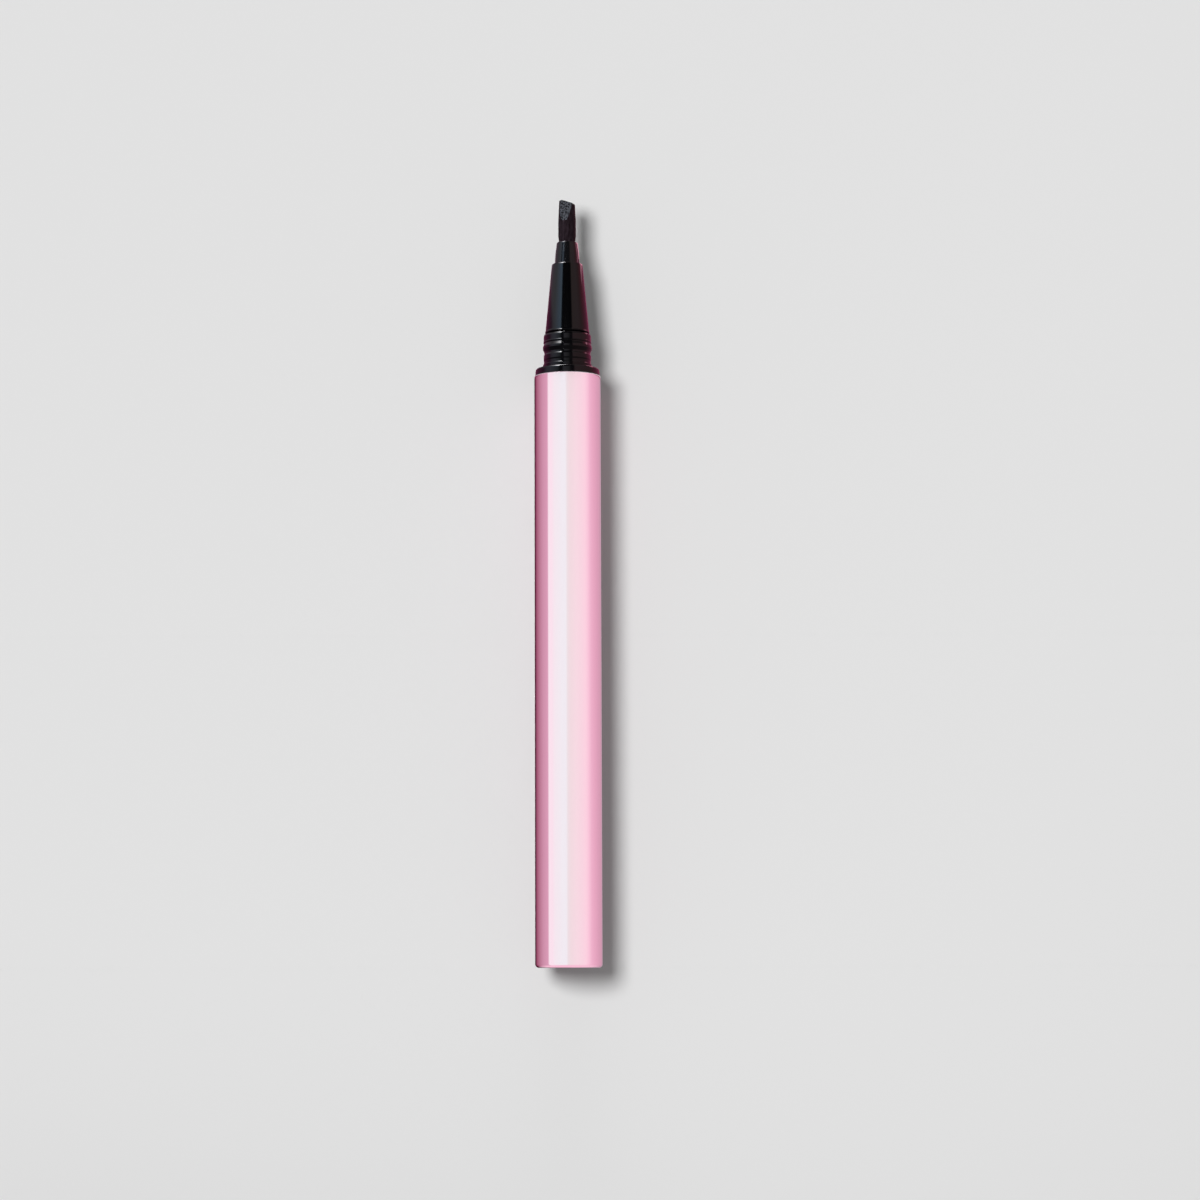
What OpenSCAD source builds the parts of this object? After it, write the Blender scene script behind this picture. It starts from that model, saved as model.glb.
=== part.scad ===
// Liquid eyeliner pen with a free ink tank, a comb collector and an angled felt nib.
// The pen stands on its tail: the origin is the centre of the tail face and +Z points to the nib.
// Lengths are in millimetres.

/* [Barrel shell] */
// Outer diameter of the drawn shell
barrel_d = 11; // [10.5:0.1:13]
// Height of the rim above the tail face
barrel_h = 97.7; // [88:0.1:120]
// Wall of the drawn tube
barrel_wall = 0.4; // [0.3:0.05:0.5]
// Thickness of the closed tail
tail_t = 0.5; // [0.4:0.05:0.8]
// Radius of the outer corner at the tail
tail_round = 0.6; // [0.3:0.05:0.9]
// Radius of the edge at the rim
rim_round = 0.12; // [0.05:0.01:0.15]

/* [Ink tank] */
// Wall of the tank
tank_wall = 0.7; // [0.5:0.05:0.9]
// Radial gap between the tank and the shell
tank_gap = 0.05; // [0.03:0.01:0.1]
// Depth of the lead-in chamfer at each mouth of the tank
tank_lead = 0.3; // [0.1:0.05:0.4]

/* [Tail pad and tank plug] */
// Thickness of the pad that presses the tank forwards
pad_t = 1.5; // [1:0.1:3]
// Radial gap between the pad and the inner corner of the shell
pad_gap = 0.1; // [0.05:0.05:0.5]
// Thickness of the plug's flange
plug_flange_t = 1.2; // [0.8:0.1:2]
// Depth of the plug inside the tank
plug_h = 5; // [4:0.1:8]
// Wall of the plug's skirt
plug_wall = 0.9; // [0.7:0.05:1.2]
// Least thickness of the plug's crown, under the dish
plug_crown_t = 1; // [0.6:0.1:1.5]
// Number of sealing ribs on the plug
plug_ribs = 2; // [1:1:3]
// Height of a sealing rib over the skirt
plug_rib_h = 0.15; // [0.1:0.01:0.25]
// Width of a sealing rib at its foot
plug_rib_w = 0.7; // [0.4:0.05:0.9]
// Depth of the dish that the mixing ball rests in
dish_depth = 0.6; // [0.3:0.05:0.9]
// Width of the flat rim around the dish
dish_rim = 0.7; // [0.3:0.05:1.2]

/* [Mixing ball] */
// Diameter of the mixing ball
ball_d = 4; // [3:0.1:5]
// Gap under the ball as it rests in the dish
ball_gap = 0.05; // [0.02:0.01:0.1]

/* [Neck, inside the shell] */
// Length of the spigot inside the shell
spigot_h = 6.7; // [5:0.1:9]
// Number of grip rings on the spigot
grip_rings = 3; // [2:1:4]
// Depth of the grooves between the grip rings
grip_depth = 0.15; // [0.1:0.01:0.2]
// Length of the plug inside the tank
neck_plug_h = 9.5; // [8.5:0.1:12]
// Thickness of the ledge that carries the collector
ledge_t = 1.6; // [1:0.1:2.5]
// Width of that ledge, from the neck's bore inwards
ledge_w = 0.8; // [0.5:0.05:1]
// Cord of the sealing ring
ring_cord = 0.7; // [0.5:0.05:0.8]
// Distance from the spigot's step to the middle of the ring groove
ring_drop = 4; // [3:0.1:5]
// Play of the sealing ring along its groove, on each side
ring_play = 0.12; // [0.05:0.01:0.2]
// Gap over and under the squeezed ring
ring_gap = 0.01; // [0.005:0.005:0.02]

/* [Neck, outside the shell] */
// Height of the shoulder over the rim
shoulder_h = 1.3; // [1:0.05:2]
// Inset of the shoulder from the barrel's side
shoulder_inset = 0.11; // [0.08:0.01:0.25]
// Draft of the shoulder's side, on the radius
shoulder_draft = 0.09; // [0:0.01:0.15]
// Radius of the shoulder's outer edge
shoulder_round = 0.36; // [0.2:0.01:0.5]
// Inset of the land that the cap's skirt fits, from the barrel's side
neck_inset = 1.56; // [1.4:0.01:1.8]
// Rise of the root collar over the land, on the radius
root_rise = 0.1; // [0.05:0.01:0.2]
// Height of the root collar
root_h = 0.85; // [0.6:0.05:1.2]
// Radius of the fillet at the root collar's foot
root_fillet = 0.25; // [0.1:0.01:0.35]
// Bevel at the top of the root collar
root_bevel = 0.12; // [0.05:0.01:0.2]
// Depth of the relief between the root collar and the land
relief_depth = 0.04; // [0.02:0.01:0.1]
// Height of the relief
relief_h = 0.6; // [0.3:0.05:1]
// Height of the land
land_h = 0.85; // [0.6:0.05:1.2]
// Depth of the waist between the land and the snap bead
waist_depth = 0.08; // [0.04:0.01:0.12]
// Height of the waist
waist_h = 0.5; // [0.3:0.05:0.8]
// Rise of the snap bead over the land, on the radius
bead_rise = 0.13; // [0.08:0.01:0.2]
// Height of the snap bead's lower flank
bead_flank_h = 0.5; // [0.3:0.05:0.8]
// Height of the cylindrical top of the snap bead
bead_h = 0.65; // [0.5:0.05:1]
// Depth of the notch between the snap bead and the upper collar
notch_depth = 0.08; // [0.04:0.01:0.12]
// Height of the notch
notch_h = 0.5; // [0.3:0.05:0.8]
// Height of the bevels that lead into the neck's grooves
groove_bevel = 0.1; // [0.05:0.01:0.14]
// Rise of the upper collar's foot over the land, on the radius
collar_rise = 0.05; // [0.02:0.01:0.08]
// Height of the upper collar
collar_h = 1.45; // [1:0.05:2]
// Share of the upper collar's height at which its step lies
collar_step_share = 0.3; // [0.2:0.05:0.6]
// Depth of that step
collar_step = 0.03; // [0.01:0.01:0.05]
// Draft of the upper collar, on the radius
collar_draft = 0.03; // [0:0.01:0.06]
// Radius of the upper collar's top edge
collar_round = 0.22; // [0.1:0.01:0.3]
// Wall of the neck around the cone's shank, at the notch
neck_wall = 0.64; // [0.5:0.02:0.8]
// Width of the ledge that the cone's shank stops on
shank_ledge = 0.27; // [0.15:0.01:0.4]

/* [Collector] */
// Radial gap between the comb and the bore of the neck
comb_gap = 0.1; // [0.05:0.01:0.15]
// Number of fins on the comb
fin_count = 22; // [12:1:26]
// Thickness of a fin
fin_t = 0.4; // [0.3:0.01:0.45]
// Wall of the comb's core around the relay core
core_wall = 0.77; // [0.5:0.01:0.9]
// Thickness of the sealing flange at the rear
collector_flange_t = 1.4; // [1:0.1:2]
// Thickness of the front disc
front_disc_t = 1; // [0.6:0.1:1.5]
// Length of the nose in front of the comb
nose_h = 4; // [3:0.1:4.5]
// Wall of the nose around the relay core
nose_wall = 0.5; // [0.35:0.01:0.6]
// Bevel at the ends of the boss and the nose
boss_bevel = 0.3; // [0.15:0.05:0.3]
// Length of the boss below the ledge
boss_out = 0.8; // [0.4:0.1:1.5]
// Width of the capillary slit
slit_w = 0.2; // [0.15:0.01:0.3]
// Width of the air notch
air_notch_w = 1; // [0.6:0.05:1.4]
// Thickness of the gasket under the collector
gasket_t = 0.6; // [0.4:0.05:1]
// Radial gap around the gasket
gasket_gap = 0.05; // [0.02:0.01:0.1]

/* [Relay core] */
// Diameter of the fibre rod
relay_d = 1.6; // [1.2:0.05:1.8]
// Length of the rod that stands out of the boss into the ink
relay_out = 2.5; // [1.5:0.1:4]
// Height of the cone on the rod's inky end
relay_point = 0.5; // [0.2:0.05:0.7]

/* [Front cone] */
// Inset of the cone's base from the upper collar
cone_inset = 0.24; // [0.22:0.01:0.4]
// Wall of the cone around the nib holder, at its tip
cone_tip_wall = 0.5; // [0.4:0.01:0.7]
// Height of the cone over the joint groove
cone_h = 11.6; // [10:0.1:14]
// Radius of the cone's base edge
cone_base_round = 0.22; // [0.1:0.01:0.3]
// Radius of the cone's tip edge
cone_tip_round = 0.34; // [0.2:0.01:0.4]
// Depth of the joint groove under the cone's base
joint_depth = 0.15; // [0.08:0.01:0.22]
// Height of the joint groove
joint_h = 0.3; // [0.2:0.05:0.4]
// Wall of the shank inside the neck
shank_wall = 0.8; // [0.6:0.05:1]
// Length of the shank inside the neck
shank_h = 2.6; // [2:0.1:3]
// Height of the air chamber over the collector's nose
nose_room = 1.1; // [0.5:0.1:2]
// Thickness of the web that carries the nib holder
web_t = 1.2; // [0.8:0.1:2]

/* [Nib holder] */
// Wall of the holder inside the cone
holder_wall = 0.67; // [0.5:0.01:0.75]
// Loss of that wall at half the holder's exposed height
holder_mid_loss = 0.11; // [0.05:0.01:0.15]
// Wall of the holder at its lip
lip_wall = 0.34; // [0.25:0.01:0.4]
// Height of the holder over the cone
holder_out_h = 3.65; // [3:0.05:5]
// Radius of the lip's edge
lip_round = 0.17; // [0.1:0.01:0.2]
// Height of the stop under the nib
stop_h = 2.4; // [1.5:0.1:3]
// Number of vent flutes on the holder
flutes = 4; // [2:1:6]
// Width of a vent flute
flute_w = 0.3; // [0.2:0.01:0.4]
// Depth of a vent flute
flute_depth = 0.15; // [0.1:0.01:0.18]
// Turn of the first vent flute from the front, in degrees
flute_turn = -22; // [-45:1:45]
// Height of the plain lip over the flutes
flute_end = 0.35; // [0.2:0.05:0.6]
// Height of the slots that lead the flutes inwards under the holder
vent_slot_h = 0.4; // [0.2:0.05:0.8]

/* [Nib] */
// Diameter of the felt inside the holder
nib_shank_d = 2.74; // [2.6:0.01:2.8]
// Swell of the felt above the holder, on the radius
nib_swell = 0.075; // [0.02:0.005:0.12]
// Height of the nib over the lip, on its axis
nib_out_h = 7.05; // [5:0.05:9]
// Height over the lip at which the felt has swelled out
nib_swell_h = 1.1; // [0.6:0.05:1.5]
// Height of the drawing edge's two cut faces
cut_h = 3.6; // [2:0.1:4.5]
// Thickness of the nib between the cut faces, on its axis at the top
edge_t = 1.1; // [0.6:0.05:1.8]
// Turn of the cut faces and the slant about the axis, in degrees
cut_turn = -20; // [-45:1:45]
// Slant of the drawing edge, in degrees
edge_slant = 21.4; // [5:0.2:35]
// Radius of the worn corners at both ends of the drawing edge
corner_round = 0.65; // [0.3:0.05:0.8]
// How far those rounds run out past the nib's side
corner_lap = 0.1; // [0.05:0.01:0.15]
// Narrowing of the nib towards the drawing edge, on the radius
nib_taper = 0.16; // [0:0.01:0.3]
// Bevel at the nib's inner end
nib_bevel = 0.25; // [0.1:0.05:0.4]

/* [Fits] */
// Radial gap between pressed parts
press_gap = 0.02; // [0.01:0.005:0.03]
// Radial gap around the relay core in the collector
relay_gap = 0.03; // [0.02:0.01:0.06]
// Radial gap around the relay core in front of the collector
relay_room = 0.3; // [0.15:0.01:0.4]
// Radial gap around the collector's boss
boss_gap = 0.06; // [0.03:0.01:0.1]

/* [Hidden] */
$fn = 96;

// Steps in a quarter round
arc_steps = 6;
// How far a cut runs past what it cuts
overrun = 1;

// Radii of the shell and what fits in it
shell_r = barrel_d / 2;
shell_bore_r = shell_r - barrel_wall;
tail_inner_round = max(tail_round - barrel_wall, 0);
pad_r = shell_bore_r - tail_inner_round - pad_gap;
tank_r = shell_bore_r - tank_gap;
tank_bore_r = tank_r - tank_wall;
skirt_r = tank_bore_r - press_gap - plug_rib_h;
spigot_r = shell_bore_r - press_gap;
neck_plug_r = tank_bore_r - press_gap;
ring_groove_r = tank_bore_r - ring_cord - 2 * ring_gap;
shoulder_r = shell_r - shoulder_inset;

// Radii of the neck outside the shell, and from there inwards to the comb
land_r = shell_r - neck_inset;
root_r = land_r + root_rise;
relief_r = land_r - relief_depth;
waist_r = land_r - waist_depth;
bead_r = land_r + bead_rise;
notch_r = land_r - notch_depth;
collar_r = land_r + collar_rise;
collar_step_r = collar_r - collar_step;
collar_top_r = collar_step_r - collar_draft;
socket_r = notch_r - neck_wall;
shank_r = socket_r - press_gap;
chamber_r = shank_r - shank_wall;
neck_bore_r = socket_r - shank_ledge;
comb_r = neck_bore_r - comb_gap;
ledge_hole_r = neck_bore_r - ledge_w;
boss_r = ledge_hole_r - boss_gap;

// Radii from the relay core and the nib outwards
relay_r = relay_d / 2;
relay_bore_r = relay_r + relay_gap;
core_r = relay_bore_r + core_wall;
nose_r = relay_bore_r + nose_wall;
web_hole_r = relay_r + relay_room;
nib_shank_r = nib_shank_d / 2;
nib_r = nib_shank_r + nib_swell;
holder_bore_r = nib_shank_r + press_gap;
holder_r = holder_bore_r + holder_wall;
holder_mid_r = holder_r - holder_mid_loss;
lip_r = holder_bore_r + lip_wall;
holder_socket_r = holder_r + press_gap;
cone_tip_r = holder_socket_r + cone_tip_wall;
cone_base_r = collar_top_r - cone_inset;
joint_r = cone_base_r - joint_depth;

// Heights from the tail upwards
z_pad_top = tail_t + pad_t;
z_tank = z_pad_top + plug_flange_t;
z_plug_top = z_tank + plug_h;
z_step = barrel_h - spigot_h;
z_neck_end = z_step - neck_plug_h;
z_ring = z_step - ring_drop;
z_ledge = z_neck_end + ledge_t;
z_collector = z_ledge + gasket_t;
z_boss_end = z_neck_end - boss_out;
z_relay_end = z_boss_end - relay_out;
z_shoulder = barrel_h + shoulder_h;
z_root = z_shoulder + root_h;
z_relief = z_root + relief_h;
z_land = z_relief + land_h;
z_waist = z_land + waist_h;
z_flank = z_waist + bead_flank_h;
z_bead = z_flank + bead_h;
z_notch = z_bead + notch_h;
z_collar = z_notch + collar_h;
z_socket = z_collar - shank_h;
z_nose = z_socket + nose_h;
z_cone = z_collar + joint_h;
z_chamber = z_nose + nose_room;
z_web = z_chamber + web_t;
z_tip = z_cone + cone_h;
z_stop = z_web + stop_h;
z_lip = z_tip + holder_out_h;
z_edge = z_lip + nib_out_h;

// Radius of the dish that the ball rests in, from its mouth and its depth
dish_mouth_r = skirt_r - dish_rim;
dish_r = (dish_mouth_r * dish_mouth_r + dish_depth * dish_depth) / (2 * dish_depth);
z_dish = z_plug_top - dish_depth;
z_ball = z_dish + ball_gap + ball_d / 2;

// The fins share the comb's length with the gaps between them
z_comb = z_collector + collector_flange_t;
z_disc = z_socket - front_disc_t;
fin_gap = (z_disc - z_comb - fin_count * fin_t) / (fin_count + 1);
fin_pitch = fin_t + fin_gap;

// Tilt of the nib's cut faces against its axis
cut_tilt = atan((nib_r - edge_t / 2) / cut_h);

// Points of a round edge about a centre given as [radius, height]
function arc(centre, r, from, to) =
    [for (i = [0 : arc_steps])
        let (a = from + (to - from) * i / arc_steps)
        centre + r * [cos(a), sin(a)]];

// A groove with bevelled ends, as points that run upwards on the outside
function groove(z_low, z_high, r_low, r_floor, r_high) =
    [[r_low, z_low], [r_floor, z_low + groove_bevel],
     [r_floor, z_high - groove_bevel], [r_high, z_high]];

module turned(points) {
    rotate_extrude() polygon(points);
}

module barrel_shell() {
    color("pink")
    turned(concat(
        [[0, 0]],
        arc([shell_r - tail_round, tail_round], tail_round, -90, 0),
        arc([shell_r - rim_round, barrel_h - rim_round], rim_round, 0, 90),
        [[shell_bore_r, barrel_h]],
        tail_inner_round > 0
            ? arc([shell_bore_r - tail_inner_round, tail_t + tail_inner_round],
                  tail_inner_round, 0, -90)
            : [[shell_bore_r, tail_t]],
        [[0, tail_t]]
    ));
}

module tail_pad() {
    color("dimgray")
    translate([0, 0, tail_t]) cylinder(r = pad_r, h = pad_t);
}

// One sealing rib, as points that run upwards on the plug's skirt
function plug_rib(z, r) =
    [[r, z - plug_rib_w / 2], [r + plug_rib_h, z - plug_rib_w / 4],
     [r + plug_rib_h, z + plug_rib_w / 4], [r, z + plug_rib_w / 2]];

module tank_plug() {
    rib_pitch = plug_h / (plug_ribs + 1);
    color("whitesmoke")
    difference() {
        turned(concat(
            [[0, z_dish - plug_crown_t], [skirt_r - plug_wall, z_dish - plug_crown_t],
             [skirt_r - plug_wall, z_pad_top], [pad_r, z_pad_top], [pad_r, z_tank],
             [skirt_r, z_tank]],
            [for (i = [1 : plug_ribs])
                each plug_rib(z_tank + i * rib_pitch, skirt_r)],
            [[skirt_r, z_plug_top], [0, z_plug_top]]
        ));
        translate([0, 0, z_dish + dish_r]) sphere(r = dish_r);
    }
}

module ink_tank() {
    mouth_r = tank_bore_r + tank_lead / 2;
    color("gainsboro")
    turned([
        [mouth_r, z_tank], [tank_r, z_tank], [tank_r, z_step], [mouth_r, z_step],
        [tank_bore_r, z_step - tank_lead], [tank_bore_r, z_tank + tank_lead]
    ]);
}

module mixing_ball() {
    color("silver")
    translate([0, 0, z_ball]) sphere(d = ball_d);
}

// Outside of the neck below the rim, from the rear end upwards
function neck_rear_outline() =
    let (ring_w = ring_cord + 2 * ring_play,
         ring_pitch = spigot_h / (2 * grip_rings - 1))
    concat(
        [[neck_plug_r - tank_lead, z_neck_end], [neck_plug_r, z_neck_end + tank_lead],
         [neck_plug_r, z_ring - ring_w / 2], [ring_groove_r, z_ring - ring_w / 2],
         [ring_groove_r, z_ring + ring_w / 2], [neck_plug_r, z_ring + ring_w / 2],
         [neck_plug_r, z_step]],
        [for (i = [0 : grip_rings - 1])
            let (z = z_step + 2 * i * ring_pitch)
            each i < grip_rings - 1
                ? [[spigot_r, z], [spigot_r, z + ring_pitch],
                   [spigot_r - grip_depth, z + ring_pitch],
                   [spigot_r - grip_depth, z + 2 * ring_pitch]]
                : [[spigot_r, z], [spigot_r, barrel_h]]]
    );

// Outside of the neck above the rim, from the rim upwards
function neck_front_outline() =
    let (edge_r = shoulder_r - shoulder_draft,
         z_mark = z_notch + collar_h * collar_step_share)
    concat(
        [[shoulder_r, barrel_h]],
        arc([edge_r - shoulder_round, z_shoulder - shoulder_round], shoulder_round, 0, 90),
        arc([root_r + root_fillet, z_shoulder + root_fillet], root_fillet, 270, 180),
        [[root_r, z_root - root_bevel]],
        groove(z_root - groove_bevel, z_relief, root_r - root_bevel, relief_r, land_r),
        [[land_r, z_land], [waist_r, z_land + groove_bevel], [waist_r, z_waist],
         [bead_r, z_flank]],
        groove(z_bead, z_notch, bead_r, notch_r, collar_r),
        [[collar_r, z_mark - collar_step], [collar_step_r, z_mark]],
        arc([collar_top_r - collar_round, z_collar - collar_round], collar_round, 0, 90)
    );

module neck_coupling() {
    color("black")
    turned(concat(
        neck_rear_outline(),
        neck_front_outline(),
        [[socket_r, z_collar], [socket_r, z_socket], [neck_bore_r, z_socket],
         [neck_bore_r, z_ledge], [ledge_hole_r, z_ledge], [ledge_hole_r, z_neck_end]]
    ));
}

module neck_ring() {
    color("dimgray")
    translate([0, 0, z_ring])
    rotate_extrude()
    translate([ring_groove_r + ring_gap + ring_cord / 2, 0]) circle(d = ring_cord);
}

module collector_gasket() {
    color("gray")
    translate([0, 0, z_ledge])
    difference() {
        cylinder(r = neck_bore_r - gasket_gap, h = gasket_t);
        translate([0, 0, -overrun])
        cylinder(r = ledge_hole_r, h = gasket_t + 2 * overrun);
    }
}

// The comb's outline: a gap and then a fin, repeated up to the front disc
function comb_outline() =
    [for (i = [0 : fin_count - 1])
        let (z = z_comb + fin_gap + i * fin_pitch)
        each [[core_r, z], [comb_r, z], [comb_r, z + fin_t], [core_r, z + fin_t]]];

module collector() {
    flange_r = neck_bore_r - press_gap;
    color("ivory")
    difference() {
        turned(concat(
            [[relay_bore_r, z_boss_end], [boss_r - boss_bevel, z_boss_end],
             [boss_r, z_boss_end + boss_bevel], [boss_r, z_collector], [flange_r, z_collector],
             [flange_r, z_comb], [core_r, z_comb]],
            comb_outline(),
            [[core_r, z_disc], [comb_r, z_disc], [comb_r, z_socket], [nose_r, z_socket],
             [nose_r, z_nose - boss_bevel], [nose_r - boss_bevel, z_nose],
             [relay_bore_r, z_nose]]
        ));
        // Capillary slit, from the relay core out through every fin
        translate([0, -slit_w / 2, z_comb])
        cube([comb_r + overrun, slit_w, z_disc - z_comb]);
        // Air notch on the far side, outside the core
        translate([-comb_r - overrun, -air_notch_w / 2, z_comb])
        cube([comb_r - core_r + overrun, air_notch_w, z_socket - z_comb + overrun]);
    }
}

module relay_core() {
    color("linen")
    turned([
        [0, z_relay_end], [relay_r - relay_point, z_relay_end],
        [relay_r, z_relay_end + relay_point], [relay_r, z_stop], [0, z_stop]
    ]);
}

module front_cone() {
    color("black")
    turned(concat(
        [[chamber_r, z_socket], [shank_r, z_socket], [shank_r, z_collar],
         [joint_r, z_collar], [joint_r, z_cone]],
        arc([cone_base_r - cone_base_round, z_cone + cone_base_round], cone_base_round, -45, 0),
        arc([cone_tip_r - cone_tip_round, z_tip - cone_tip_round], cone_tip_round, 0, 90),
        [[holder_socket_r, z_tip], [holder_socket_r, z_web], [web_hole_r, z_web],
         [web_hole_r, z_chamber], [chamber_r, z_chamber]]
    ));
}

// Outside of the holder, drawn inwards by a depth
function holder_outline(depth) =
    let (z_mid = z_tip + holder_out_h / 2,
         edge_r = lip_r - lip_round - depth)
    concat(
        [[0, z_web], [holder_r - depth, z_web], [holder_r - depth, z_tip],
         [holder_mid_r - depth, z_mid]],
        arc([edge_r, z_lip - lip_round], lip_round, 0, 90),
        [[0, z_lip]]
    );

// Slabs from the axis outwards, one for each flute, up to a height
module flute_slabs(z_end) {
    for (i = [0 : flutes - 1])
        rotate([0, 0, flute_turn + i * 360 / flutes])
        translate([-flute_w / 2, -holder_r - overrun, z_web - overrun])
        cube([flute_w, holder_r + overrun, z_end - z_web + overrun]);
}

module nib_holder() {
    color("black")
    difference() {
        turned(holder_outline(0));
        translate([0, 0, z_stop]) cylinder(r = holder_bore_r, h = z_lip - z_stop + overrun);
        translate([0, 0, z_web - overrun])
        cylinder(r = web_hole_r, h = z_stop - z_web + 2 * overrun);
        flute_slabs(z_web + vent_slot_h);
        difference() {
            flute_slabs(z_lip - flute_end);
            turned(holder_outline(flute_depth));
        }
    }
}

// Block that cuts one face of the nib, given by the turn of the face
module nib_cut(turn) {
    block = 2 * nib_r + overrun;
    rotate([0, 0, turn])
    translate([0, -nib_r, z_edge - cut_h])
    rotate([-cut_tilt, 0, 0])
    translate([-block, -block, -overrun])
    cube([2 * block, block, 2 * cut_h]);
}

// Centre of a corner's round, at a distance from the axis along the drawing edge
function corner_centre(x) =
    [x, z_edge - x * tan(edge_slant) - corner_round / cos(edge_slant)];

// What is left of the nib, seen square to its cut faces: a slanted top with round corners
module edge_outline() {
    block = nib_r + overrun;
    reach = nib_r - nib_taper + corner_lap - corner_round;
    high = corner_centre(-reach);
    low = corner_centre(reach);
    rotate([0, 0, cut_turn])
    rotate([90, 0, 0])
    translate([0, 0, -block])
    linear_extrude(height = 2 * block)
    polygon(concat(
        [[-block, z_stop - overrun], [block, z_stop - overrun], [block, low[1]]],
        arc(low, corner_round, 0, 90 - edge_slant),
        arc(high, corner_round, 90 - edge_slant, 180),
        [[-block, high[1]]]
    ));
}

module nib() {
    color("darkslategray")
    intersection() {
        difference() {
            turned([
                [0, z_stop], [nib_shank_r - nib_bevel, z_stop],
                [nib_shank_r, z_stop + nib_bevel], [nib_shank_r, z_lip + nib_bevel],
                [nib_r, z_lip + nib_swell_h], [nib_r, z_edge - cut_h],
                [nib_r - nib_taper, z_edge], [nib_r - nib_taper, z_edge + overrun],
                [0, z_edge + overrun]
            ]);
            nib_cut(cut_turn);
            nib_cut(cut_turn + 180);
        }
        edge_outline();
    }
}

barrel_shell();
tail_pad();
tank_plug();
ink_tank();
mixing_ball();
neck_coupling();
neck_ring();
collector_gasket();
collector();
relay_core();
front_cone();
nib_holder();
nib();
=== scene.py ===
"""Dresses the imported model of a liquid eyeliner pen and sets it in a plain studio.

The visible pieces are turned, cut and finished as they would be by hand in Blender, over the CAD
nodes that they replace. The sealed pieces inside keep their CAD meshes and get their finishes.
The pen stands on its tail: +Z runs from the tail to the nib and -Y faces the camera.
"""

import logging
import math
from collections.abc import Callable
from dataclasses import dataclass
from enum import Enum

import bpy
from mathutils import Euler, Matrix, Vector


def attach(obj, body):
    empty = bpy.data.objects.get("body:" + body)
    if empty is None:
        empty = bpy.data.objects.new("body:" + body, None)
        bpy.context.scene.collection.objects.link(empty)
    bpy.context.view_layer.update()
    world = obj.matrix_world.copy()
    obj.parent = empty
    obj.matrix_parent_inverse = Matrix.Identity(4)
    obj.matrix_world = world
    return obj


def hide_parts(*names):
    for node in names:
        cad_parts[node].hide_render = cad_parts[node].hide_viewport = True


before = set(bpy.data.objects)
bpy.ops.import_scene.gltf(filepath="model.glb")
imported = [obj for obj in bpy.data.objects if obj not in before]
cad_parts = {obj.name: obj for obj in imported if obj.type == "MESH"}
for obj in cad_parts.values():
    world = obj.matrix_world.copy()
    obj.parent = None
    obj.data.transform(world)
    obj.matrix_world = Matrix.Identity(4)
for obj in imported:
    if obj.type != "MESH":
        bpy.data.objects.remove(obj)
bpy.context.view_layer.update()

log = logging.getLogger("eyeliner_pen")

PEN = "pen"
MM = 0.001
TINY = 1e-6
Pair = tuple[float, float]
Point = Pair
Place = tuple[float, float, float]
Color = tuple[float, float, float]
Stops = tuple[tuple[float, Color], ...]
Value = bpy.types.NodeSocket | float | Color


# Bench work: profiles, turned meshes and edit-mode steps, all in millimetres.


class Bench:
    """Edit-mode steps that the pieces share. Lengths are millimetres until a piece is finished."""

    @staticmethod
    def clear() -> None:
        """Leaves edit mode and deselects everything."""
        if bpy.context.mode != "OBJECT":
            bpy.ops.object.mode_set(mode="OBJECT")
        bpy.ops.object.select_all(action="DESELECT")

    @staticmethod
    def hold(piece: bpy.types.Object) -> None:
        """Leaves edit mode with only this piece selected and active."""
        Bench.clear()
        bpy.context.view_layer.objects.active = piece
        piece.select_set(True)

    @staticmethod
    def edit(piece: bpy.types.Object, kind: str) -> None:
        """Opens a piece in edit mode with nothing selected.

        Args:
            piece: The mesh object to work on.
            kind: The select mode, "EDGE" or "FACE".
        """
        Bench.hold(piece)
        bpy.ops.object.mode_set(mode="EDIT")
        bpy.ops.mesh.select_mode(type=kind)
        bpy.ops.mesh.select_all(action="DESELECT")

    @staticmethod
    def pick_faces(piece: bpy.types.Object, chosen: Callable[[bpy.types.MeshPolygon], bool]) -> None:
        """Opens a piece in edit mode with some of its faces selected.

        Args:
            piece: The mesh object to work on.
            chosen: Says whether a polygon is selected.
        """
        Bench.edit(piece, "FACE")
        bpy.ops.object.mode_set(mode="OBJECT")
        for polygon in piece.data.polygons:
            polygon.select = chosen(polygon)
        bpy.ops.object.mode_set(mode="EDIT")
        bpy.ops.mesh.select_mode(type="FACE")

    @staticmethod
    def modify(piece: bpy.types.Object, name: str, kind: str, **settings: object) -> None:
        """Adds a modifier to a piece and applies it.

        Args:
            piece: The piece to change.
            name: Name of the modifier.
            kind: Blender's name of its type.
            **settings: Properties of the modifier.
        """
        modifier = piece.modifiers.new(name, kind)
        for key, value in settings.items():
            setattr(modifier, key, value)
        Bench.hold(piece)
        bpy.ops.object.modifier_apply(modifier=name)

    @staticmethod
    def finish(piece: bpy.types.Object, smooth_deg: float = 40.0) -> bpy.types.Object:
        """Brings a piece from millimetres to metres and smooths its shading by angle.

        Args:
            piece: The modelled piece.
            smooth_deg: Edges that turn by more than this stay sharp.

        Returns:
            The same piece, at the origin with an identity transform.
        """
        Bench.hold(piece)
        piece.scale = (MM, MM, MM)
        bpy.ops.object.transform_apply(location=True, rotation=True, scale=True)
        bpy.ops.object.shade_smooth_by_angle(angle=math.radians(smooth_deg))
        piece.select_set(False)
        return piece


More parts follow.
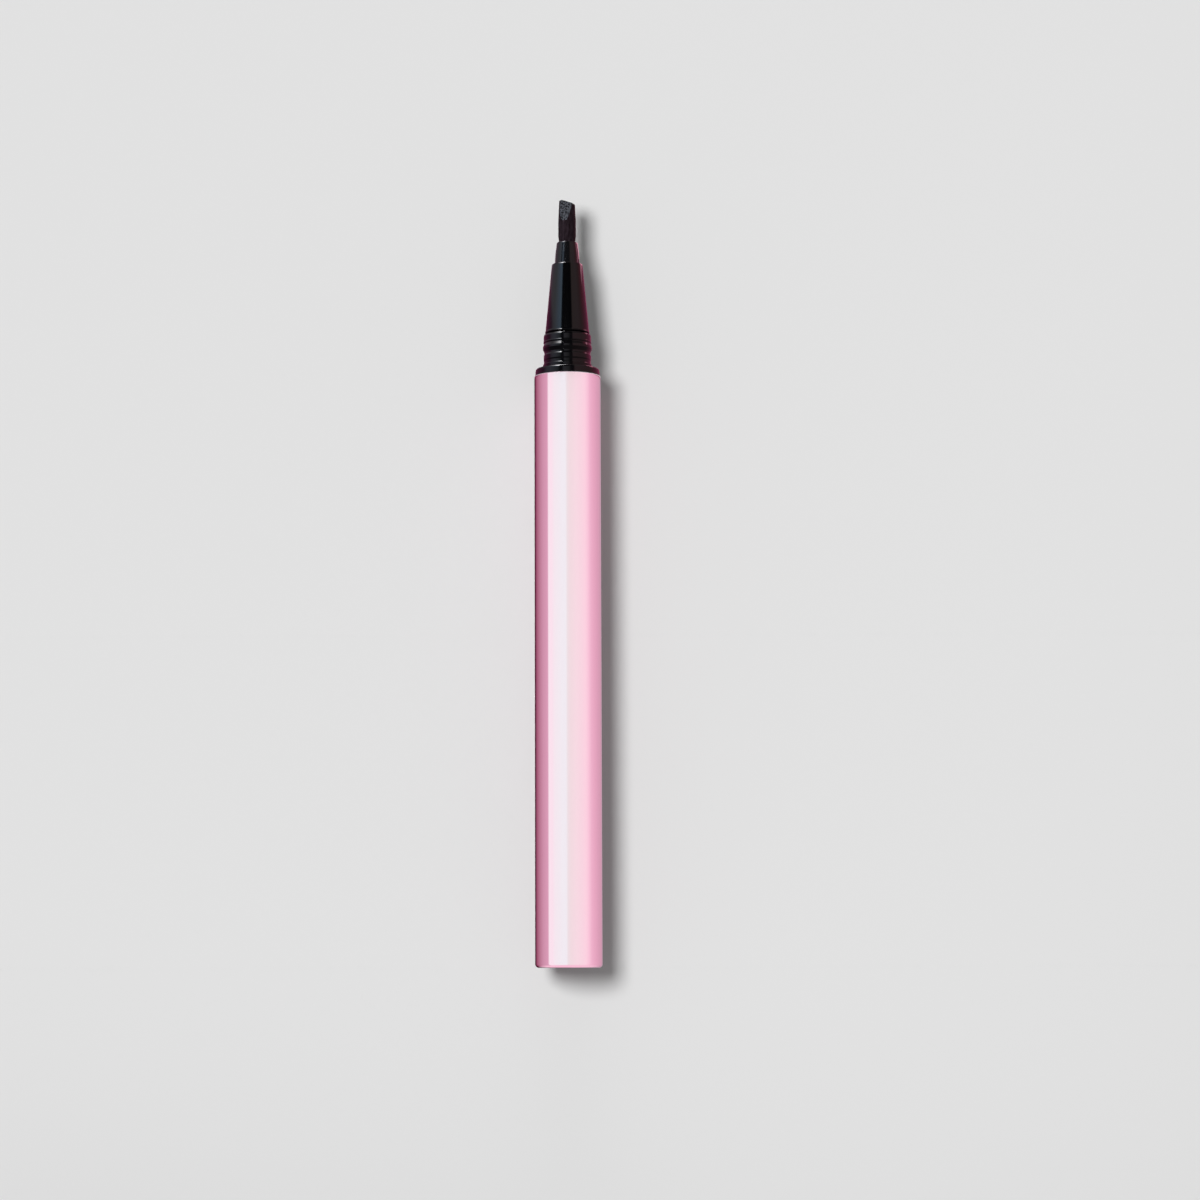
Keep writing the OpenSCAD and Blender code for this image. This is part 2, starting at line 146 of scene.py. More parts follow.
class Profile:
    """The outline of a turned piece, as points of radius and height that run along its surface."""

    def __init__(self, guard: float = 0.015) -> None:
        """Starts an empty outline.

        Args:
            guard: Distance from a corner at which a flat gets a ring that keeps its shading flat.
        """
        self.guard = guard
        self.points: list[Point] = []

    def to(self, *points: Point) -> "Profile":
        """Adds straight runs to the points given, and returns the profile."""
        self.points.extend(points)
        return self

    def arc(self, centre: Point, radius: float, start: float, end: float, steps: int = 6) -> "Profile":
        """Adds a round edge.

        Args:
            centre: Radius and height of the arc's centre.
            radius: Radius of the arc.
            start: Angle of its first point, in degrees from the outward direction.
            end: Angle of its last point.
            steps: Number of chords.

        Returns:
            The profile itself.
        """
        for i in range(steps + 1):
            turn = math.radians(start + (end - start) * i / steps)
            self.points.append((centre[0] + radius * math.cos(turn), centre[1] + radius * math.sin(turn)))
        return self

    def rings(self) -> list[Point]:
        """Adds a guard ring near each end of every long run.

        Returns:
            The radius and height of every ring of the piece.
        """
        rings = [self.points[0]]
        long_run = 6 * self.guard
        for low, high in zip(self.points, self.points[1:]):
            length = math.dist(low, high)
            if length < TINY:
                continue
            if length > long_run:
                share = self.guard / length
                for t in (share, 1 - share):
                    rings.append((low[0] + (high[0] - low[0]) * t, low[1] + (high[1] - low[1]) * t))
            rings.append(high)
        return rings


def turn_piece(name: str, profile: Profile, sides: int) -> bpy.types.Object:
    """Turns a closed piece from one ring: each further ring is extruded and resized in edit mode.

    Args:
        name: Name of the new piece.
        profile: Its outline, from its first point round to its last one.
        sides: Number of sides of each ring.

    Returns:
        The piece, in millimetres, with its seams closed and its faces outwards.
    """
    axis, same, weld = 1e-4, 1e-9, 1e-3
    rings = profile.rings()
    radius, height = rings[0]
    now = max(radius, axis)
    Bench.clear()
    bpy.ops.mesh.primitive_circle_add(vertices=sides, radius=now, location=(0, 0, height))
    piece = bpy.context.object
    piece.name = name
    bpy.ops.object.transform_apply(location=True, rotation=True, scale=True)
    Bench.edit(piece, "EDGE")
    bpy.ops.mesh.select_all(action="SELECT")
    for next_radius, next_height in rings[1:]:
        next_radius = max(next_radius, axis)
        bpy.ops.mesh.extrude_region_move(TRANSFORM_OT_translate={"value": (0, 0, next_height - height)})
        if abs(next_radius - now) > same:
            factor = next_radius / now
            bpy.ops.transform.resize(value=(factor, factor, 1), center_override=(0, 0, next_height))
        now, height = next_radius, next_height
    bpy.ops.mesh.select_all(action="SELECT")
    bpy.ops.mesh.remove_doubles(threshold=weld)
    bpy.ops.mesh.select_all(action="SELECT")
    bpy.ops.mesh.normals_make_consistent(inside=False)
    bpy.ops.object.mode_set(mode="OBJECT")
    return piece


# Finishes.


class Nodes:
    """Adds and links nodes in one tree."""

    def __init__(self, tree: bpy.types.NodeTree) -> None:
        """Holds the tree that the nodes go into."""
        self.tree = tree

    @classmethod
    def dress(cls, piece: bpy.types.Object, name: str) -> "Nodes":
        """Gives a piece a new material with no nodes yet.

        Args:
            piece: The piece to dress.
            name: The material's name.

        Returns:
            The material's nodes.
        """
        material = bpy.data.materials.new(name)
        material.use_nodes = True
        material.node_tree.nodes.clear()
        piece.data.materials.append(material)
        return cls(material.node_tree)

    def add(self, kind: str, **values: object) -> bpy.types.Node:
        """Adds a node and sets its properties.

        Args:
            kind: Blender's name of the node type.
            **values: Properties of the node.

        Returns:
            The new node.
        """
        node = self.tree.nodes.new(kind)
        for key, value in values.items():
            setattr(node, key, value)
        return node

    def link(self, source: bpy.types.NodeSocket, target: bpy.types.NodeSocket) -> None:
        """Links an output to an input."""
        self.tree.links.new(source, target)

    def feed(self, socket: bpy.types.NodeSocket, value: Value) -> None:
        """Gives an input its value.

        Args:
            socket: The input.
            value: A socket to link, a number or a colour.
        """
        if isinstance(value, bpy.types.NodeSocket):
            self.link(value, socket)
        elif isinstance(value, tuple):
            socket.default_value = (*value, 1.0)
        else:
            socket.default_value = value

    def math(self, operation: str, *inputs: Value) -> bpy.types.NodeSocket:
        """Adds a Math node.

        Args:
            operation: Blender's name of the operation.
            *inputs: Sockets or plain numbers, in order.

        Returns:
            The node's output.
        """
        node = self.add("ShaderNodeMath", operation=operation)
        for socket, value in zip(node.inputs, inputs):
            self.feed(socket, value)
        return node.outputs[0]

    def span(self, value: bpy.types.NodeSocket, low: float, high: float) -> bpy.types.NodeSocket:
        """Rises from 0 to 1 as a value goes from one end of a span to the other.

        Args:
            value: The socket to measure.
            low: Its value at 0.
            high: Its value at 1.

        Returns:
            The share's socket.
        """
        node = self.add("ShaderNodeMapRange")
        node.inputs["From Min"].default_value = low
        node.inputs["From Max"].default_value = high
        self.link(value, node.inputs["Value"])
        return node.outputs["Result"]

    def blend(self, factor: Value, low: Value, high: Value) -> bpy.types.NodeSocket:
        """Mixes two colours by a factor.

        Args:
            factor: A socket or a number from 0 to 1.
            low: The colour, or its socket, at factor 0.
            high: The colour, or its socket, at factor 1.

        Returns:
            The mixed colour's socket.
        """
        node = self.add("ShaderNodeMix", data_type="RGBA")
        for index, value in ((0, factor), (6, low), (7, high)):
            self.feed(node.inputs[index], value)
        return node.outputs[2]

    def close(self, front: bpy.types.NodeSocket) -> None:
        """Ends a material whose front shows a shader and whose back is clear.

        Args:
            front: The shader's socket.
        """
        clear = self.add("ShaderNodeBsdfTransparent")
        side = self.add("ShaderNodeNewGeometry")
        mix = self.add("ShaderNodeMixShader")
        self.link(side.outputs["Backfacing"], mix.inputs[0])
        self.link(front, mix.inputs[1])
        self.link(clear.outputs[0], mix.inputs[2])
        self.link(mix.outputs[0], self.add("ShaderNodeOutputMaterial").inputs[0])


class Grain(Enum):
    """Directions in which the shared grain is drawn out."""

    EVEN = (1.0, 1.0, 1.0)
    ALONG = (1.0, 1.0, 0.06)
    FIBRE = (1.0, 1.0, 0.18)


def grain_group() -> bpy.types.NodeTree:
    """The shared effect: fine grain plus larger handling marks, in millimetres on Object coordinates.

    Returns:
        A node group with the outputs Grain and Marks, both about 0.5 on average.
    """
    made = bpy.data.node_groups.get("moulded_grain")
    if made:
        return made
    group = bpy.data.node_groups.new("moulded_grain", "ShaderNodeTree")
    for name, kind in (("Point", "Vector"), ("Fine", "Float"), ("Broad", "Float")):
        group.interface.new_socket(name, in_out="INPUT", socket_type="NodeSocket" + kind)
    for name in ("Grain", "Marks"):
        group.interface.new_socket(name, in_out="OUTPUT", socket_type="NodeSocketFloat")
    nodes = Nodes(group)
    inputs = nodes.add("NodeGroupInput")
    outputs = nodes.add("NodeGroupOutput")
    for scale, output, detail, roughness in (("Fine", "Grain", 4.0, 0.6), ("Broad", "Marks", 2.0, 0.5)):
        texture = nodes.add("ShaderNodeTexNoise", noise_dimensions="3D")
        texture.inputs["Detail"].default_value = detail
        texture.inputs["Roughness"].default_value = roughness
        nodes.link(inputs.outputs["Point"], texture.inputs["Vector"])
        nodes.link(inputs.outputs[scale], texture.inputs["Scale"])
        nodes.link(texture.outputs["Fac"], outputs.inputs[output])
    return group


@dataclass(frozen=True)
class Finish:
    """One finish. Scales are features per millimetre and depths are in micrometres."""

    name: str
    slot: str
    base: Color
    shade: Color
    roughness: float
    roughness_swing: float = 0.08
    metallic: float = 0.0
    coat: float = 0.0
    coat_roughness: float = 0.05
    specular: float = 0.5
    subsurface: float = 0.0
    transmission: float = 0.0
    grain: Grain = Grain.EVEN
    fine_scale: float = 12.0
    broad_scale: float = 0.25
    bump_um: float = 1.0
    colour_swing: float = 0.5
    spread: float = 0.2

    def material(self) -> bpy.types.Material:
        """Builds the finish as a material, once.

        Returns:
            The material.
        """
        made = bpy.data.materials.get(self.name)
        if made:
            return made
        material = bpy.data.materials.new(self.name)
        material.use_nodes = True
        nodes = Nodes(material.node_tree)
        shader = material.node_tree.nodes["Principled BSDF"]
        place = nodes.add("ShaderNodeTexCoord")
        mapping = nodes.add("ShaderNodeMapping")
        mapping.inputs["Scale"].default_value = tuple(axis / MM for axis in self.grain.value)
        nodes.link(place.outputs["Object"], mapping.inputs["Vector"])
        effect = nodes.add("ShaderNodeGroup", node_tree=grain_group())
        nodes.link(mapping.outputs["Vector"], effect.inputs["Point"])
        effect.inputs["Fine"].default_value = self.fine_scale
        effect.inputs["Broad"].default_value = self.broad_scale
        mixed = nodes.math("MULTIPLY", effect.outputs["Grain"], self.colour_swing)
        mixed = nodes.math("MULTIPLY_ADD", effect.outputs["Marks"], 1 - self.colour_swing, mixed)
        self._colour(nodes, shader, mixed)
        rough = nodes.math("SUBTRACT", effect.outputs["Marks"], 0.5)
        rough = nodes.math("MULTIPLY_ADD", rough, 2 * self.roughness_swing, self.roughness)
        nodes.link(rough, shader.inputs["Roughness"])
        bump = nodes.add("ShaderNodeBump")
        bump.inputs["Strength"].default_value = 1.0
        bump.inputs["Distance"].default_value = self.bump_um * MM * MM
        nodes.link(effect.outputs["Grain"], bump.inputs["Height"])
        nodes.link(bump.outputs["Normal"], shader.inputs["Normal"])
        for socket, value in (
            ("Metallic", self.metallic),
            ("Coat Weight", self.coat),
            ("Coat Roughness", self.coat_roughness),
            ("Specular IOR Level", self.specular),
            ("Subsurface Weight", self.subsurface),
            ("Transmission Weight", self.transmission),
        ):
            shader.inputs[socket].default_value = value
        if self.subsurface:
            shader.inputs["Subsurface Scale"].default_value = MM
        return material

    def _colour(self, nodes: Nodes, shader: bpy.types.Node, mixed: bpy.types.NodeSocket) -> None:
        """Links the colour of the finish.

        Args:
            nodes: The material's nodes.
            shader: The node that takes the colour.
            mixed: The grain, about 0.5 on average, which leads from the base to the shade.
        """
        share = nodes.span(mixed, 0.5 - self.spread, 0.5 + self.spread)
        nodes.link(nodes.blend(share, self.base, self.shade), shader.inputs["Base Color"])

    def dress(self, piece: bpy.types.Object) -> None:
        """Gives a piece this finish on all its faces.

        Args:
            piece: The finished piece, or a node that keeps its CAD mesh.
        """
        piece.data.materials.clear()
        piece.data.materials.append(self.material())


@dataclass(frozen=True)
class Finishes:
    """Every finish of the pen."""

    lacquer: Finish = Finish(
        "pearl_pink_lacquer", "pink_barrel", (0.94, 0.69, 0.78), (0.95, 0.72, 0.80), 0.07, 0.02,
        metallic=1.0, coat=0.5, coat_roughness=0.03, grain=Grain.ALONG, fine_scale=6.0, bump_um=0.05,
    )
    neck: Finish = Finish(
        "black_neck_gloss", "black_gloss", (0.001, 0.001, 0.0013), (0.0025, 0.0025, 0.003), 0.10, 0.03,
        fine_scale=5.0, bump_um=0.15,
    )
    # Matt, slightly darker black for the joint groove: painted shade that darkens the groove between cone
    # and neck.
    joint: Finish = Finish(
        "joint_groove_painted_shade", "black_gloss", (0.0008, 0.0008, 0.001), (0.0015, 0.0015, 0.002), 0.7, 0.05,
        bump_um=4.0, specular=0.05,
    )
    cone: Finish = Finish(
        "black_cone_gloss", "black_gloss", (0.001, 0.001, 0.0013), (0.0025, 0.0025, 0.003), 0.12, 0.03,
        grain=Grain.ALONG, fine_scale=5.0, bump_um=0.2,
    )
    holder: Finish = Finish(
        "black_holder_satin", "black_holder", (0.002, 0.002, 0.0025), (0.005, 0.005, 0.006), 0.19, 0.05,
        grain=Grain.FIBRE, fine_scale=3.0, bump_um=11.0,
    )
    felt: Finish = Finish(
        "inked_felt", "charcoal_felt", (0.008, 0.004, 0.006), (0.024, 0.016, 0.021), 0.6, 0.1,
        grain=Grain.FIBRE, fine_scale=4.0, bump_um=60.0, colour_swing=0.9, spread=0.1, specular=0.06,
    )
    felt_cut: Finish = Finish(
        "cut_felt", "charcoal_felt", (0.002, 0.002, 0.003), (0.075, 0.08, 0.095), 0.5, 0.1,
        fine_scale=3.6, bump_um=180.0, colour_swing=0.95, spread=0.06, specular=0.05,
    )
    foam: Finish = Finish(
        "closed_cell_foam", "grey_foam", (0.18, 0.18, 0.19), (0.36, 0.36, 0.37), 0.9, fine_scale=9.0,
        bump_um=60.0, colour_swing=0.8,
    )
    plug: Finish = Finish(
        "natural_polyethylene", "natural_plug", (0.80, 0.80, 0.76), (0.88, 0.88, 0.85), 0.42,
        subsurface=0.15, fine_scale=6.0, bump_um=4.0,
    )
    tank: Finish = Finish(
        "frosted_polypropylene", "clear_tank", (0.76, 0.77, 0.76), (0.84, 0.85, 0.84), 0.35,
        transmission=0.35, fine_scale=7.0, bump_um=3.0,
    )
    ball: Finish = Finish(
        "polished_steel", "steel_ball", (0.60, 0.61, 0.63), (0.66, 0.67, 0.69), 0.08, 0.03,
        metallic=1.0, fine_scale=10.0, bump_um=0.2,
    )
    ring: Finish = Finish(
        "nitrile_rubber", "black_rubber", (0.02, 0.02, 0.02), (0.035, 0.035, 0.035), 0.55, bump_um=3.0,
    )
    gasket: Finish = Finish(
        "soft_elastomer", "grey_gasket", (0.30, 0.30, 0.31), (0.38, 0.38, 0.39), 0.6, bump_um=3.0,
    )
    comb: Finish = Finish(
        "etched_ivory_comb", "ivory_comb", (0.82, 0.80, 0.71), (0.90, 0.88, 0.80), 0.5,
        subsurface=0.1, fine_scale=10.0, bump_um=5.0,
    )
    fibre: Finish = Finish(
        "inked_fibre_rod", "inked_fibre", (0.02, 0.018, 0.02), (0.07, 0.063, 0.07), 0.8,
        grain=Grain.FIBRE, fine_scale=14.0, bump_um=30.0, colour_swing=0.8,
    )


FINISHES = Finishes()


# The pen.


@dataclass
class Barrel:
    """The drawn metal shell: a long tube with a closed tail and a rolled rim."""

    radius: float = 5.5
    height: float = 97.7
    wall: float = 0.4
    tail: float = 0.5
    tail_round: float = 0.6
    rim_round: float = 0.07
    sides: int = 160

    def profile(self) -> Profile:
        """Draws the shell's outline.

        Returns:
            The outline, from the middle of the tail face round to the inside of the tail.
        """
        bore = self.radius - self.wall
        inner = self.tail_round - self.wall
        outline = Profile()
        outline.to((0, 0))
        outline.arc((self.radius - self.tail_round, self.tail_round), self.tail_round, -90, 0, 10)
        outline.arc((self.radius - self.rim_round, self.height - self.rim_round), self.rim_round, 0, 90, 5)
        outline.to((bore, self.height))
        outline.arc((bore - inner, self.tail + inner), inner, 0, -90, 5)
        return outline.to((0, self.tail))

    def build(self) -> None:
        """Models the shell and puts it in the place of its CAD node."""
        shell = Bench.finish(turn_piece("barrel", self.profile(), self.sides))
        FINISHES.lacquer.dress(shell)
        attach(shell, PEN)
        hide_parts("barrel_shell")
        log.info("barrel: %d faces", len(shell.data.polygons))


@dataclass
class Neck:
    """The black neck: plug and spigot inside the barrel, shoulder, snap bead and collars outside."""

    rim: float = 97.7
    sides: int = 128
    rear: float = 81.5
    rear_lead: float = 0.3
    plug: float = 4.33
    ring_seat: float = 3.63
    ring_low: float = 86.53
    ring_high: float = 87.47
    spigot: float = 5.08
    spigot_low: float = 91.0
    spigot_groove: float = 0.15
    spigot_bands: int = 5
    bore: float = 2.95
    bore_low: float = 83.1
    bore_high: float = 102.3
    core_hole: float = 2.15
    shoulder: float = 5.39
    draft: float = 0.09
    shoulder_height: float = 99.0
    shoulder_round: float = 0.36
    root: float = 4.04
    root_height: float = 99.85
    fillet: float = 0.03
    bevel: float = 0.12
    relief: float = 3.90
    relief_height: float = 100.45
    land: float = 3.94
    land_height: float = 101.22
    land_rise: float = 0.23
    waist: float = 3.835
    waist_height: float = 101.8
    bead: float = 4.07
    flank_height: float = 102.3
    bead_height: float = 102.72
    notch: float = 3.88
    notch_low: float = 103.2
    notch_height: float = 103.4
    lead: float = 0.1
    collar: float = 3.99
    collar_mark: float = 103.5
    collar_wall: float = 3.945
    collar_top: float = 3.93
    collar_height: float = 104.77
    collar_round: float = 0.11
    collar_ease: float = 0.07
    collar_rise: float = 0.16
    collar_start: float = 20.0
    socket: float = 3.22
    soft: float = 0.07
    smooth_deg: float = 35.0

    def corner(self, outline: Profile, before: Point, at: Point, after: Point) -> None:
        """Adds a corner with a small moulded radius.

        Args:
            outline: The profile that gets the corner.
            before: A point on the run that leads to the corner.
            at: The sharp corner.
            after: A point on the run that leaves it.
        """
        most, steps = 0.45, 4
        here = Vector(at)
        ends = []
        for other in (before, after):
            run = Vector(other) - here
            ends.append(here + run.normalized() * min(self.soft, run.length * most))
        for i in range(steps + 1):
            t = i / steps
            spot = ends[0] * (1 - t) ** 2 + here * (2 * t * (1 - t)) + ends[1] * t**2
            outline.to(tuple(spot))

    def profile(self) -> Profile:
        """Draws the neck's outline.

        Returns:
            The outline, from the rear end up, over the collar and down the bore.
        """
        outline = Profile()
        outline.to((self.core_hole, self.rear), (self.plug - self.rear_lead, self.rear),
                   (self.plug, self.rear + self.rear_lead), (self.plug, self.ring_low),
                   (self.ring_seat, self.ring_low), (self.ring_seat, self.ring_high),
                   (self.plug, self.ring_high), (self.plug, self.spigot_low), (self.spigot, self.spigot_low))
        pitch = (self.rim - self.spigot_low) / self.spigot_bands
        sunk = self.spigot - self.spigot_groove
        for i in range(1, self.spigot_bands, 2):
            low, high = self.spigot_low + i * pitch, self.spigot_low + (i + 1) * pitch
            outline.to((self.spigot, low), (sunk, low), (sunk, high), (self.spigot, high))
        outline.to((self.spigot, self.rim), (self.shoulder, self.rim))
        edge = self.shoulder - self.draft
        outline.arc((edge - self.shoulder_round, self.shoulder_height - self.shoulder_round),
                    self.shoulder_round, 0, 90, 8)
        outline.arc((self.root + self.fillet, self.shoulder_height + self.fillet), self.fillet, 270, 180, 8)
        chain = [
            (self.root, self.shoulder_height + self.fillet),
            (self.root, self.root_height - self.bevel),
            (self.root - self.bevel, self.root_height - self.lead),
            (self.relief, self.root_height),
            (self.relief, self.relief_height - self.lead),
            (self.land, self.relief_height),
            (self.land, self.land_height),
            (self.waist, self.land_height + self.land_rise),
            (self.waist, self.waist_height),
            (self.bead, self.flank_height),
            (self.bead, self.bead_height),
            (self.notch, self.notch_low),
            (self.notch, self.notch_height - self.lead),
            (self.collar, self.notch_height),
            (self.collar, self.collar_mark),
            (self.collar_wall, self.collar_mark + self.lead),
            (self.collar_top, self.collar_height - self.collar_round - self.collar_rise),
            (self.collar_top - self.collar_ease, self.collar_height - self.collar_round),
        ]
        for before, at, after in zip(chain, chain[1:], chain[2:]):
            self.corner(outline, before, at, after)
        edge = self.collar_top - self.collar_ease - self.collar_round
        outline.arc((edge, self.collar_height - self.collar_round), self.collar_round,
                    self.collar_start, 90, 6)
        return outline.to((self.socket, self.collar_height), (self.socket, self.bore_high),
                          (self.bore, self.bore_high), (self.bore, self.bore_low),
                          (self.core_hole, self.bore_low), (self.core_hole, self.rear))

    def build(self) -> None:
        """Models the neck and puts it in the place of its CAD node."""
        neck = Bench.finish(turn_piece("neck", self.profile(), self.sides), self.smooth_deg)
        FINISHES.neck.dress(neck)
        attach(neck, PEN)
        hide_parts("neck_coupling")
        log.info("neck: %d faces", len(neck.data.polygons))


@dataclass
class Cone:
    """The black front cone with its shank, joint groove and air chamber."""

    base: float = 3.69
    tip: float = 2.58
    joint: float = 3.4
    shank: float = 3.2
    chamber: float = 2.4
    socket: float = 2.08
    web_hole: float = 1.1
    rear: float = 102.3
    collar_height: float = 104.77
    foot: float = 105.0
    chamber_height: float = 107.4
    web_height: float = 108.6
    top: float = 116.8
    band_height: float = 0.43
    band_drop: float = 0.07
    bevel_height: float = 0.2
    bevel_rise: float = 0.09
    bevel_drop: float = 0.04
    base_round: float = 0.18
    base_start: float = -75.0
    tip_round: float = 0.34
    tip_start: float = 5.7
    shade_groove_reach: Pair = (0.15, 0.04)
    sides: int = 128

    def profile(self) -> Profile:
        """Draws the cone's outline.

        Returns:
            The outline, from the shank up the outside and back down the bore.
        """
        outline = Profile()
        outline.to((self.chamber, self.rear), (self.shank, self.rear), (self.shank, self.collar_height),
                   (self.joint, self.collar_height), (self.joint, self.foot))
        outline.arc((self.base - self.base_round, self.foot + self.base_round), self.base_round,
                    self.base_start, 0, 6)
        bevel = self.foot + self.bevel_height
        outline.to((self.base, bevel), (self.base - self.bevel_drop, bevel + self.bevel_rise),
                   (self.base - self.band_drop, self.foot + self.band_height))
        outline.arc((self.tip - self.tip_round, self.top - self.tip_round), self.tip_round,
                    self.tip_start, 90, 8)
        return outline.to((self.socket, self.top), (self.socket, self.web_height),
                          (self.web_hole, self.web_height), (self.web_hole, self.chamber_height),
                          (self.chamber, self.chamber_height), (self.chamber, self.rear))

    def build(self) -> None:
        """Models the cone and puts it in the place of its CAD node."""
        cone = Bench.finish(turn_piece("front_shell", self.profile(), self.sides))
        FINISHES.cone.dress(cone)
        # The faces in the joint groove get the matt black finish, painted shade that darkens the groove.
        cone.data.materials.append(FINISHES.joint.material())
        widest, highest = self.joint + self.shade_groove_reach[0], self.foot + self.shade_groove_reach[1]
        for face in cone.data.polygons:
            x, y, z = face.center / MM
            if self.shank < math.hypot(x, y) < widest and self.rear < z < highest:
                face.material_index = 1
        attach(cone, PEN)
        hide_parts("front_cone")
        log.info("cone: %d faces", len(cone.data.polygons))


@dataclass
class Holder:
    """The small black holder with vent flutes sunk into its side."""

    rear: float = 108.6
    stop: float = 111.0
    tip: float = 116.8
    lip_height: float = 120.45
    radius: float = 2.06
    middle: float = 1.95
    lip: float = 1.73
    lip_round: float = 0.17
    bore: float = 1.39
    air_hole: float = 1.1
    flutes: int = 4
    flute_turn: float = -22.0
    flute_depth: float = 0.15
    flute_start: float = 0.5
    flute_end: float = 0.35
    half_columns: int = 2
    wall: float = 0.2
    sides: int = 144

    def in_flute(self, face: bpy.types.MeshPolygon) -> bool:
        """Tells the faces that sink into the flutes.

        Args:
            face: A face of the turned holder.

        Returns:
            Whether it is on the outer wall and within a flute's width and height.
        """
        x, y, z = face.center
        low, high = self.tip - self.flute_start, self.lip_height - self.flute_end
        if math.hypot(x, y) < self.bore + self.wall or not low < z < high:
            return False
        step = 360 / self.flutes
        turn = math.degrees(math.atan2(x, -y)) - self.flute_turn
        off = (turn + step / 2) % step - step / 2
        return abs(off) < self.half_columns * 360 / self.sides

    def build(self) -> None:
        """Turns the holder, sinks its flutes and puts it in the place of its CAD node."""
        half = (self.tip + self.lip_height) / 2
        top = self.lip_height - self.flute_end
        slope = (self.middle - self.lip) / (self.lip_height - self.lip_round - half)
        outline = Profile(guard=0.02)
        outline.to((self.air_hole, self.rear), (self.radius, self.rear), (self.radius, self.tip),
                   (self.middle, half), (self.middle - slope * (top - half), top))
        outline.arc((self.lip - self.lip_round, self.lip_height - self.lip_round), self.lip_round, 0, 90, 6)
        outline.to((self.bore, self.lip_height), (self.bore, self.stop), (self.air_hole, self.stop),
                   (self.air_hole, self.rear))
        holder = turn_piece("nib_grip", outline, self.sides)
        Bench.pick_faces(holder, self.in_flute)
        bpy.ops.mesh.extrude_region_shrink_fatten(
            TRANSFORM_OT_shrink_fatten={"value": -self.flute_depth, "use_even_offset": True}
        )
        bpy.ops.object.mode_set(mode="OBJECT")
        Bench.finish(holder)
        FINISHES.holder.dress(holder)
        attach(holder, PEN)
        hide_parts("nib_holder")
        log.info("holder: %d faces", len(holder.data.polygons))


